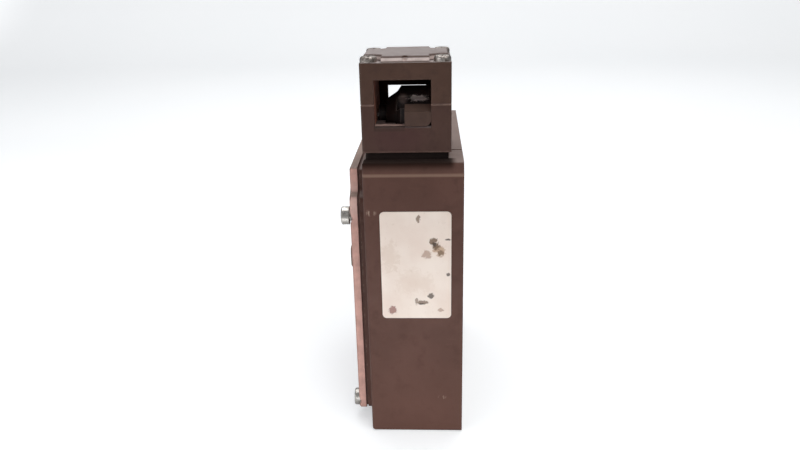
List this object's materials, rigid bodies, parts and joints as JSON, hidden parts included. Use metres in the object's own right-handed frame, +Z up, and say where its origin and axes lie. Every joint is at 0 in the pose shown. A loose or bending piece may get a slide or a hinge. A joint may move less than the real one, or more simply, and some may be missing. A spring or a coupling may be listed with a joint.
{
  "type": "tongue interlock switch",
  "caption": "Tongue interlock safety switch: brown metal case, screwed cover, turret head with a worn cam in its slot, and a solenoid lock inside.",
  "frame": {"origin": "centre of the rectangle of mounting holes, on the back face", "axes": "+Z up towards the head, -Y out through the cover, +Y out of the mounting face, +X towards the side the head's window opens to"},
  "size_m": [0.0982, 0.0452, 0.146],
  "materials": {
    "body_paint": "satin powder-coated brown",
    "head_paint": "satin powder-coated dark brown",
    "plinth_grey": "matt moulded",
    "gasket_rubber": "matt",
    "plated_screws": "zinc plated",
    "cam_steel": "worn, bright at the edges",
    "pin_steel": "ground",
    "spring_steel": "drawn wire",
    "guide_brown": "satin moulded",
    "brass": "turned",
    "contact_silver": "silvered",
    "block_plastic": "matt moulded",
    "carriage_plastic": "matt moulded",
    "yoke_steel": "zinc plated",
    "coil_tape": "varnished winding",
    "board_green": "solder mask",
    "led_clear": "clear moulded",
    "lens_smoke": "tinted moulded",
    "label_cream": "satin film, smeared",
    "plug_black": "matt moulded",
    "release_brass": "dull"
  },
  "bodies": {
    "housing": {"body_housing": "body_paint", "front_cover": "body_paint", "cover_gasket": "gasket_rubber", "cover_screws": "plated_screws", "indicator_lens": "lens_smoke", "indicator_dots": "lens_smoke", "indicator_board": "board_green", "board_leds": "led_clear", "board_screws": "plated_screws", "label_plate": "label_cream", "head_plinth": "plinth_grey", "head_base": "head_paint", "head_cap": "head_paint", "head_screws": "plated_screws", "tongue_guide": "guide_brown", "cam_pin": "pin_steel", "plunger_bush": "brass", "return_spring": "spring_steel", "contact_block": "block_plastic", "fixed_contacts": "contact_silver", "terminal_screws": "brass", "block_screws": "plated_screws", "solenoid_yoke": "yoke_steel", "coil_bobbin": "carriage_plastic", "solenoid_coil": "coil_tape", "solenoid_core": "yoke_steel", "bolt_spring": "spring_steel", "bolt_guide": "yoke_steel", "yoke_screws": "plated_screws", "guide_screws": "plated_screws", "terminal_strip": "block_plastic", "strip_terminal_screws": "brass", "strip_fixing_screws": "plated_screws", "earth_terminal": "brass", "earth_screw": "brass", "blanking_plug": "plug_black"},
    "cam": {"actuating_cam": "cam_steel"},
    "plunger": {"plunger_rod": "pin_steel", "contact_carriage": "carriage_plastic", "moving_contacts": "contact_silver"},
    "bolt": {"solenoid_armature": "pin_steel", "lock_bolt": "pin_steel"},
    "release": {"manual_release": "release_brass", "release_clip": "spring_steel"}
  },
  "joints": [
    {"name": "cam_turn", "type": "hinge", "parent": "housing", "child": "cam", "pos_m": [0.02825, -0.01995, 0.07], "axis": [0, -1, 0], "range_deg": [0, 70]},
    {"name": "plunger_lift", "type": "slide", "parent": "housing", "child": "plunger", "axis": [0, 0, 1], "range_m": [0, 0.0055], "deforming": ["return_spring"]},
    {"name": "lock_bolt_slide", "type": "slide", "parent": "housing", "child": "bolt", "axis": [1, 0, 0], "range_m": [0, 0.004], "stiffness_N_per_m": 150, "springref_m": -0.004, "deforming": ["bolt_spring"]},
    {"name": "manual_release_turn", "type": "hinge", "parent": "housing", "child": "release", "pos_m": [0.013, -0.0363, 0.027], "axis": [0, -1, 0], "range_deg": [0, 180]}
  ],
  "couplings": [
    {"joint": "plunger_lift", "follows": "cam_turn", "m_per_rad": 0.0045018}
  ]
}
